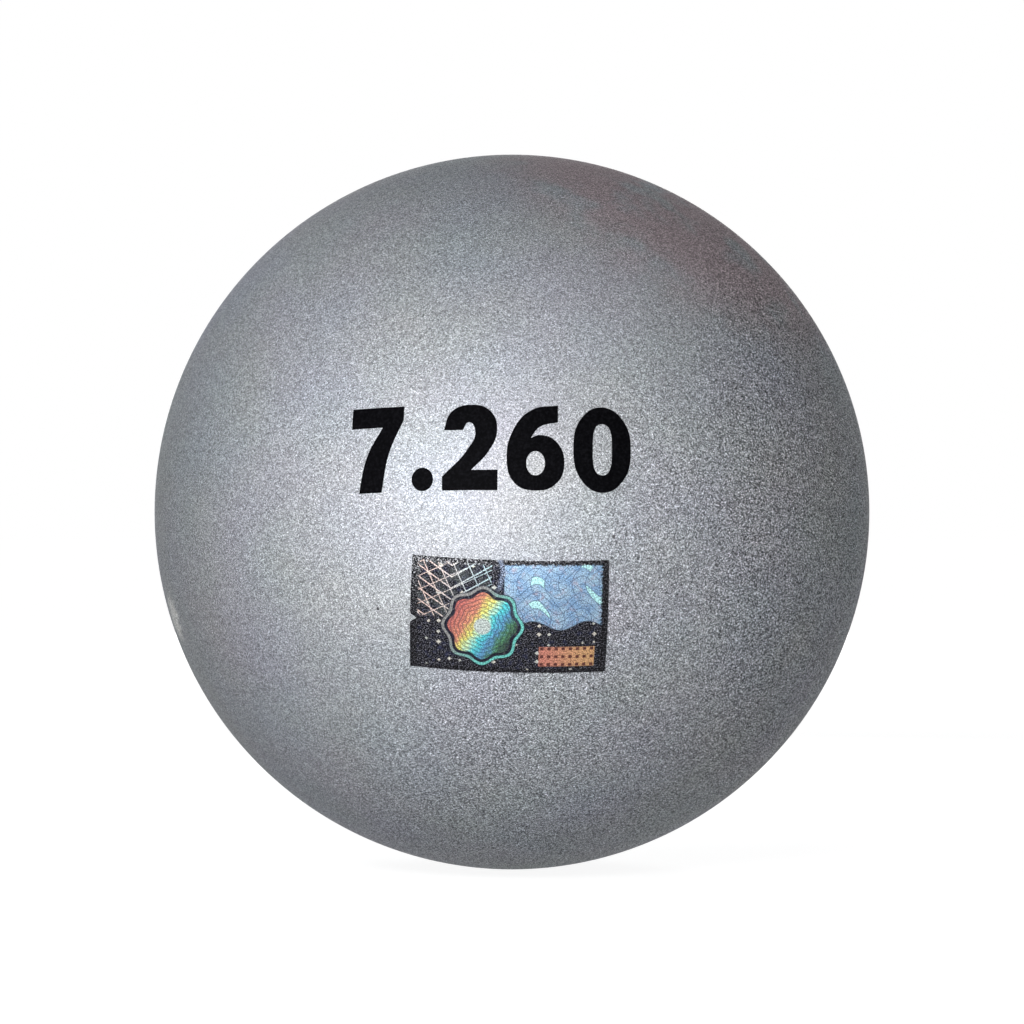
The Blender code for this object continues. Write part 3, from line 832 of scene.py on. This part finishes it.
port = {
    "ballRadius": 0.061,
    "headRadius": 0.016,
    "counterboreRadius": 0.0163,
    "headSeat": 0.0546,
    "floorHeight": 0.0525,
    "bushRadius": 0.01915,
    "rimReach": 0.06035,
    "seatReach": 0.05265,
    "flangeRadius": 0.023,
    "bushEnd": 0.04102,
    "plugEnd": 0.04202,
    "noseChamfer": 0.0009,
    "threadTop": 0.0528,
    "coreRadius": 0.0109175,
    "crestRadius": 0.012,
    "boreRadius": 0.0111175,
    "grooveRadius": 0.0122,
    "boreLead": 0.00015,
    "pitch": 0.002,
    "crestHalf": 0.000125,
    "grooveHalf": 0.00024,
    "flankSlope": math.tan(math.radians(30)),
    "edgeRound": 0.0004,
    "segments": 128,
}


def plugProfile(size):
    radius, head, seat, edge = pick(size, "ballRadius", "headRadius", "headSeat", "edgeRound")
    core, crest, top, end = pick(size, "coreRadius", "crestRadius", "threadTop", "plugEnd")
    pitch, crestHalf, slope, chamfer = pick(size, "pitch", "crestHalf", "flankSlope", "noseChamfer")
    edgeRing = minus(head, edge)
    edgeReach = minus(radius, edge)
    edgeAngle = angleAt(edgeReach, edgeRing)
    edgeHeight = heightAt(edgeReach, edgeRing)
    lowEdge, neckTop = plus(seat, edge), minus(seat, edge)
    neckRing = plus(core, edge)
    threadLow = plus(end, chamfer)
    nose = minus(core, chamfer)
    return [
        ("arc", 40, 0.0, 0.0, radius, 0.0, edgeAngle),
        ("arc", 6, edgeRing, edgeHeight, edge, edgeAngle, quarter),
        ("line", 6, head, edgeHeight, head, lowEdge),
        ("arc", 6, edgeRing, lowEdge, edge, quarter, math.pi),
        ("line", 4, edgeRing, seat, neckRing, seat),
        ("arc", 6, neckRing, neckTop, edge, 0.0, -quarter),
        ("line", 2, core, neckTop, core, top),
        ("thread", 120, threadLow, top, core, crest, pitch, crestHalf, slope, core),
        ("line", 3, core, threadLow, nose, end),
        ("line", 4, nose, end, 0.0, end),
    ]


def bushProfile(size):
    bore, wall, outer, flange = pick(size, "boreRadius", "counterboreRadius", "bushRadius", "flangeRadius")
    rim, seat, floorHeight, end = pick(size, "rimReach", "seatReach", "floorHeight", "bushEnd")
    groove, pitch, grooveHalf, slope = pick(size, "grooveRadius", "pitch", "grooveHalf", "flankSlope")
    edge = size["edgeRound"]
    lead = plus(groove, size["boreLead"])
    flangeEdge = minus(flange, edge)
    flangeLow = plus(end, edge)
    cornerRing = minus(wall, edge)
    cornerHeight = plus(floorHeight, edge)
    return [
        ("arc", 6, 0.0, 0.0, rim, angleAt(rim, wall), angleAt(rim, outer)),
        ("line", 10, outer, heightAt(rim, outer), outer, heightAt(seat, outer)),
        ("arc", 6, 0.0, 0.0, seat, angleAt(seat, outer), angleAt(seat, flange)),
        ("line", 8, flange, heightAt(seat, flange), flange, flangeLow),
        ("arc", 6, flangeEdge, flangeLow, edge, quarter, math.pi),
        ("line", 8, flangeEdge, end, lead, end),
        ("thread", 130, end, floorHeight, bore, groove, pitch, grooveHalf, slope, lead),
        ("line", 6, lead, floorHeight, cornerRing, floorHeight),
        ("arc", 6, cornerRing, cornerHeight, edge, math.pi, quarter),
        ("line", 8, wall, cornerHeight, wall, heightAt(rim, wall)),
    ]


washer = {
    "innerRadius": 0.0123,
    "outerRadius": 0.0154,
    "top": 0.0543,
    "bottom": 0.0528,
    "edgeRound": 0.0003,
    "segments": 128,
}


def washerProfile(size):
    inner, outer, top, bottom, edge = pick(size, "innerRadius", "outerRadius", "top", "bottom", "edgeRound")
    insideRing, outsideRing = plus(inner, edge), minus(outer, edge)
    high, low = minus(top, edge), plus(bottom, edge)
    return [
        ("line", 3, insideRing, top, outsideRing, top),
        ("arc", 5, outsideRing, high, edge, 0.0, quarter),
        ("line", 2, outer, high, outer, low),
        ("arc", 5, outsideRing, low, edge, quarter, math.pi),
        ("line", 3, outsideRing, bottom, insideRing, bottom),
        ("arc", 5, insideRing, low, edge, -math.pi, -quarter),
        ("line", 2, inner, low, inner, high),
        ("arc", 5, insideRing, high, edge, -quarter, 0.0),
    ]


keySocket = {
    "acrossFlats": 0.010,
    "floor": 0.054,
    "drillDepth": 0.0029,
    "drillRadius": 0.0047,
    "drillTip": 0.0002,
    "drillOverlap": 0.0002,
    "mouthRadius": 0.0064,
    "mouthHeight": 0.0609,
    "mouthDepth": 0.0011,
    "cutTop": 0.0625,
}


def socketShapes():
    # the hexagon, the drill's point under it and the mouth's chamfer: sides, both radii and both heights
    corner = keySocket["acrossFlats"] / 2 / math.cos(math.pi / 6)
    low, top, mouth, depth = pick(keySocket, "floor", "cutTop", "mouthHeight", "mouthDepth")
    tip, drill, drillDepth, overlap = pick(keySocket, "drillTip", "drillRadius", "drillDepth", "drillOverlap")
    mouthRadius = keySocket["mouthRadius"]
    return [
        (6, corner, corner, low, top),
        (48, tip, drill, low - drillDepth, low + overlap),
        (96, mouthRadius - depth, mouthRadius + (top - mouth), mouth - depth, top),
    ]


def makeCutter(number, sides, lowRadius, highRadius, low, high):
    # a prism or cone along +Y, with corners towards +Z and -Z when it has six sides
    bm = bmesh.new()
    radii = {"radius1": lowRadius, "radius2": highRadius}
    bmesh.ops.create_cone(bm, cap_ends=True, segments=sides, depth=high - low, **radii)
    place = Matrix.Translation((0, (low + high) / 2, 0)) @ Matrix.Rotation(-quarter, 4, "X")
    bmesh.ops.transform(bm, matrix=place, verts=bm.verts)
    mesh = bpy.data.meshes.new("socketCutter" + str(number))
    bm.to_mesh(mesh)
    bm.free()
    return linkObject(mesh.name, mesh)


def cutSocket(piece, material):
    cutters = [makeCutter(number, *shape) for number, shape in enumerate(socketShapes())]
    for cutter in cutters:
        cut = piece.modifiers.new("cut", "BOOLEAN")
        cut.operation = "DIFFERENCE"
        cut.solver = "EXACT"
        cut.object = cutter
    mesh = plainMesh(piece)
    piece.modifiers.clear()
    piece.data = tidyMesh(mesh, 30)
    mesh.materials.clear()
    mesh.materials.append(material)
    for cutter in cutters:
        bpy.data.objects.remove(cutter)


portPlug = turnPiece("port_plug_fine", port, plugProfile, materials["plug"], sharpAngle=30)
cutSocket(portPlug, materials["plug"])
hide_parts("port_plug")
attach(portPlug, "plug")

portBush = turnPiece("port_bush_fine", port, bushProfile, materials["steel"], sharpAngle=30)
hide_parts("port_bush")
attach(portBush, "shot")

sealWasher = turnPiece("seal_washer_fine", washer, washerProfile, materials["copper"], sharpAngle=40)
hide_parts("seal_washer")
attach(sealWasher, "washer")
print("port made")


# what lies on the ball's front: the foil label and the weight printed above it

def bendOnBall(across, up, reach, place):
    # bends a point of a flat sheet onto the ball's front, turned about its own middle first
    roll = math.radians(place["roll"])
    x = (across * math.cos(roll) - up * math.sin(roll)) / ball["ballRadius"]
    y = (across * math.sin(roll) + up * math.cos(roll)) / ball["ballRadius"]
    point = Vector((math.sin(x) * math.cos(y), -math.cos(x) * math.cos(y), math.sin(y))) * reach
    point.rotate(Euler((math.radians(-place["rise"]), 0, math.radians(place["side"]))))
    return point


def waveAt(x, y, z, scale):
    return mathutils.noise.noise(Vector((x, y, z)) * scale)


def labelPoint(u, v):
    # place on the flat sheet from its lower left corner, with worn edges and a nick on the left
    x, y = u * label["width"], v * label["height"]
    inset = min(u, 1 - u, v * 0.6, (1 - v) * 0.6)  # 0.6 is about the sheet's height over its width
    wear = max(0.0, 1 - inset / label["raggedMargin"]) * label["raggedness"]
    x += wear * waveAt(x, y, 0, label["raggedPerMetre"])
    y += wear * waveAt(x, y, 0.01, label["raggedPerMetre"])
    nick = math.exp(-((y - label["notchPlace"]) / label["notchHalf"]) ** 2)
    x += label["notchDepth"] * nick * max(0.0, 1 - u / label["notchReach"]) ** 2
    return x, y


def labelLift(x, y):
    # the film is a little wavy, with one crease that runs down from its top edge
    wave = waveAt(x * 0.7, y, 0.3, label["wrinklesPerMetre"]) * label["wrinkle"]
    down = max(0.0, 1 - (label["height"] - y) / label["creaseLength"])
    bend = label["creaseSwing"] * math.sin(y * label["creaseRate"])
    off = (x - label["creasePlace"] - bend) / label["creaseHalf"]
    return wave + label["wrinkle"] + label["creaseLift"] * down * math.exp(-off * off)


def makeLabel(material):
    columns, rows = label["columns"], label["rows"]
    bm = bmesh.new()
    uvLayer = bm.loops.layers.uv.new("print")
    corners = {}  # by layer, row and column: layer 0 lies on the ball, and layer 1 is the film's face
    for layer in (0, 1):
        for row in range(rows + 1):
            for column in range(columns + 1):
                x, y = labelPoint(column / columns, row / rows)
                reach = label["reach"] + layer * (label["film"] + labelLift(x, y))
                point = bendOnBall(x - label["width"] / 2, y - label["height"] / 2, reach, label)
                corners[layer, row, column] = bm.verts.new(point)

    def addFace(*places):
        face = bm.faces.new([corners[place] for place in places])
        for loop, (_, row, column) in zip(face.loops, places):
            loop[uvLayer].uv = (column / columns, row / rows)

    for row in range(rows):
        for column in range(columns):
            addFace((1, row, column), (1, row, column + 1), (1, row + 1, column + 1), (1, row + 1, column))
            addFace((0, row + 1, column), (0, row + 1, column + 1), (0, row, column + 1), (0, row, column))
    for column in range(columns):
        addFace((0, 0, column), (0, 0, column + 1), (1, 0, column + 1), (1, 0, column))
        addFace((1, rows, column), (1, rows, column + 1), (0, rows, column + 1), (0, rows, column))
    for row in range(rows):
        addFace((1, row, 0), (1, row + 1, 0), (0, row + 1, 0), (0, row, 0))
        addFace((0, row, columns), (0, row + 1, columns), (1, row + 1, columns), (1, row, columns))
    mesh = bpy.data.meshes.new("foil_label")
    bm.to_mesh(mesh)
    bm.free()
    return placeObject("foil_label", tidyMesh(mesh, 50), material)


foilLabel = makeLabel(materials["foil"])
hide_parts("security_label")
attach(foilLabel, "shot")

mark = {
    "text": "7.260",
    "height": 0.0132,
    "width": 0.0436,
    "gap": 0.11,
    "ink": 0.00004,
    "reach": 0.06099,
    "rise": 9.3,
    "side": -3.3,
    "roll": 0.0,
    "gridStep": 0.0008,
}

# outlines of bold numerals, one unit high: each point is x, y and whether the line is smooth there
numerals = {
    "7": (0.68, [[(0.0, 1.0, 0), (0.68, 1.0, 0), (0.68, 0.84, 0), (0.50, 0.45, 1), (0.40, 0.0, 0),
                  (0.10, 0.0, 0), (0.21, 0.42, 1), (0.41, 0.76, 0), (0.0, 0.76, 0)]]),
    ".": (0.27, [[(0.0, 0.135, 1), (0.135, 0.27, 1), (0.27, 0.135, 1), (0.135, 0.0, 1)]]),
    "2": (0.68, [[(0.02, 0.70, 0), (0.10, 0.91, 1), (0.34, 1.0, 1), (0.59, 0.92, 1), (0.67, 0.70, 1),
                  (0.57, 0.45, 1), (0.36, 0.235, 0), (0.68, 0.235, 0), (0.68, 0.0, 0), (0.0, 0.0, 0),
                  (0.0, 0.16, 0), (0.31, 0.47, 1), (0.405, 0.68, 1), (0.33, 0.79, 1), (0.25, 0.70, 0)]]),
    "6": (0.70, [[(0.62, 0.80, 0), (0.62, 1.0, 0), (0.30, 0.94, 1), (0.08, 0.71, 1), (0.0, 0.35, 1),
                  (0.09, 0.09, 1), (0.35, 0.0, 1), (0.61, 0.09, 1), (0.70, 0.33, 1), (0.61, 0.56, 1),
                  (0.41, 0.645, 1), (0.29, 0.61, 0), (0.39, 0.735, 1)],
                 [(0.235, 0.315, 1), (0.35, 0.455, 1), (0.465, 0.315, 1), (0.35, 0.175, 1)]]),
    "0": (0.72, [[(0.0, 0.5, 1), (0.10, 0.86, 1), (0.36, 1.0, 1), (0.62, 0.86, 1), (0.72, 0.5, 1),
                  (0.62, 0.14, 1), (0.36, 0.0, 1), (0.10, 0.14, 1)],
                 [(0.24, 0.5, 1), (0.36, 0.80, 1), (0.48, 0.5, 1), (0.36, 0.20, 1)]]),
}


def flatNumerals():
    curve = bpy.data.curves.new("numerals", "CURVE")
    curve.dimensions = "2D"
    curve.fill_mode = "BOTH"
    curve.resolution_u = 12
    left = 0.0
    for sign in mark["text"]:
        width, outlines = numerals[sign]
        for outline in outlines:
            spline = curve.splines.new("BEZIER")
            spline.bezier_points.add(len(outline) - 1)
            spline.use_cyclic_u = True
            for knot, (x, y, smooth) in zip(spline.bezier_points, outline):
                knot.co = (left + x, y, 0)
                knot.handle_left_type = knot.handle_right_type = "AUTO" if smooth else "VECTOR"
        left += width + mark["gap"]
    carrier = linkObject("numeralsCarrier", curve)
    mesh = plainMesh(carrier)
    bpy.data.objects.remove(carrier)
    bpy.data.curves.remove(curve)
    return mesh


def makeMark(material):
    # plain numerals, cut by a fine grid so that they bend with the ball, and given the ink's thickness
    mesh = flatNumerals()
    bm = bmesh.new()
    bm.from_mesh(mesh)
    bmesh.ops.remove_doubles(bm, verts=bm.verts, dist=0.00001)
    sizes = (mark["width"], mark["height"])
    low = [min(vert.co[axis] for vert in bm.verts) for axis in (0, 1)]
    high = [max(vert.co[axis] for vert in bm.verts) for axis in (0, 1)]
    for vert in bm.verts:
        for axis in (0, 1):
            vert.co[axis] = ((vert.co[axis] - low[axis]) / (high[axis] - low[axis]) - 0.5) * sizes[axis]
        vert.co.z = 0
    for size, normal in zip(sizes, (Vector((1, 0, 0)), Vector((0, 1, 0)))):
        for step in range(1, math.ceil(size / mark["gridStep"])):
            shapes = bm.verts[:] + bm.edges[:] + bm.faces[:]
            place = normal * (step * mark["gridStep"] - size / 2)
            bmesh.ops.bisect_plane(bm, geom=shapes, plane_co=place, plane_no=normal)
    bmesh.ops.dissolve_degenerate(bm, edges=bm.edges, dist=0.000005)
    raised = bmesh.ops.extrude_face_region(bm, geom=bm.faces[:])["geom"]
    raised = {item for item in raised if isinstance(item, bmesh.types.BMVert)}
    for vert in bm.verts:
        reach = mark["reach"] + (mark["ink"] if vert in raised else 0)
        vert.co = bendOnBall(vert.co.x, vert.co.y, reach, mark)
    bm.to_mesh(mesh)
    bm.free()
    return placeObject("weight_mark", tidyMesh(mesh, 40), material)


weightMark = makeMark(materials["ink"])
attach(weightMark, "shot")
print("label and mark made")


# what is inside keeps its own solids and gets its finish

insideFinish = {
    "ballast_fill": "ballast",
    "calibration_cup": "zinc",
    "trim_disc_1": "lead",
    "trim_disc_2": "lead",
    "trim_disc_3": "lead",
    "trim_disc_4": "lead",
    "packing_pad": "rubber",
}

for node, finish in insideFinish.items():
    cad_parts[node].data.materials.clear()
    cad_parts[node].data.materials.append(materials[finish])


# floor, light and camera

studio = {
    "floorHeight": -0.061,
    "floorRadius": 6.0,
    "floorColour": (0.28, 0.28, 0.28, 1),
    "floorRange": (0.1, 0.6, 0.9, 1.0),    # its glow is a little weaker near the ball
    "surround": (0.01, 0.01, 0.01, 1),
    "cameraPlace": (0.0, -0.5, 0.0),
    "cameraLens": 102.23,
    "sensorWidth": 36.0,
    "clipStart": 0.01,
}

# a lamp is white where it names no colour
lamps = {
    "nearLamp": {"place": (-0.035, -0.128, 0.004), "size": 0.05, "watts": 0.05},
    "middleLamp": {"place": (0.014, -0.15, -0.006), "size": 0.05, "watts": 0.034},
    "frontLamp": {"place": (-0.047, -0.24, 0.052), "size": 0.05, "watts": 0.225},
    "leftLamp": {"place": (-0.57, -0.23, 0.15), "size": 0.3, "watts": 0.3, "colour": (0.97, 0.98, 1.0)},
    "topLamp": {"place": (-0.45, 0.33, 0.45), "size": 0.3, "watts": 0.52, "colour": (0.81, 0.92, 1.0)},
    "rearLamp": {"place": (0.03, 0.27, 0.06), "size": 0.08, "watts": 0.3},
    "farLamp": {"place": (0.0, 0.95, 0.1), "size": 0.5, "watts": 3.0},
}


def seenDirectly(tree):
    # 1 for the rays that should meet the white background, 0 for those that light the object
    path = addNode(tree, "ShaderNodeLightPath").outputs
    return most(most(path["Is Camera Ray"], path["Is Glossy Ray"]), path["Is Transmission Ray"])


def makeWorld():
    world = bpy.data.worlds.new("studioWorld")
    bpy.context.scene.world = world
    world.use_nodes = True
    colour = blend(seenDirectly(world.node_tree), studio["surround"], (1, 1, 1, 1))
    feed(world.node_tree.nodes["Background"].inputs["Color"], colour)


def makeFloor():
    mesh = bpy.data.meshes.new("floor")
    bm = bmesh.new()
    bmesh.ops.create_circle(bm, cap_ends=True, segments=96, radius=studio["floorRadius"])
    bmesh.ops.translate(bm, verts=bm.verts, vec=(0, 0, studio["floorHeight"]))
    bm.to_mesh(mesh)
    bm.free()
    constants = {"Specular IOR Level": 0.0, "Emission Color": (1, 1, 1, 1)}
    material, shader, position = newMaterial("paleFloor", **constants)
    paint(shader, studio["floorColour"], 0.9)
    glow = ease(vectorCalc("LENGTH", position), *studio["floorRange"])
    feed(shader.inputs["Emission Strength"], times(seenDirectly(shader.id_data), glow))
    floor = placeObject("floor", mesh, material)


def aim(thing, place):
    # stands at the place and looks at the ball's centre
    thing.location = place
    thing.rotation_euler = (-Vector(place)).to_track_quat("-Z", "Y").to_euler()


def makeLamps():
    for name, values in lamps.items():
        data = bpy.data.lights.new(name, "AREA")
        data.shape = "DISK"
        data.size = values["size"]
        data.energy = values["watts"]
        data.color = values.get("colour", (1.0, 1.0, 1.0))
        lamp = linkObject(name, data)
        lamp.visible_camera = False
        aim(lamp, values["place"])


def makeCamera():
    data = bpy.data.cameras.new("camera")
    data.lens = studio["cameraLens"]
    data.sensor_width = studio["sensorWidth"]
    data.clip_start = studio["clipStart"]
    camera = linkObject("camera", data)
    aim(camera, studio["cameraPlace"])
    bpy.context.scene.camera = camera


makeWorld()
makeFloor()
makeLamps()
makeCamera()
bpy.context.scene.view_settings.view_transform = "Standard"
print("studio made")
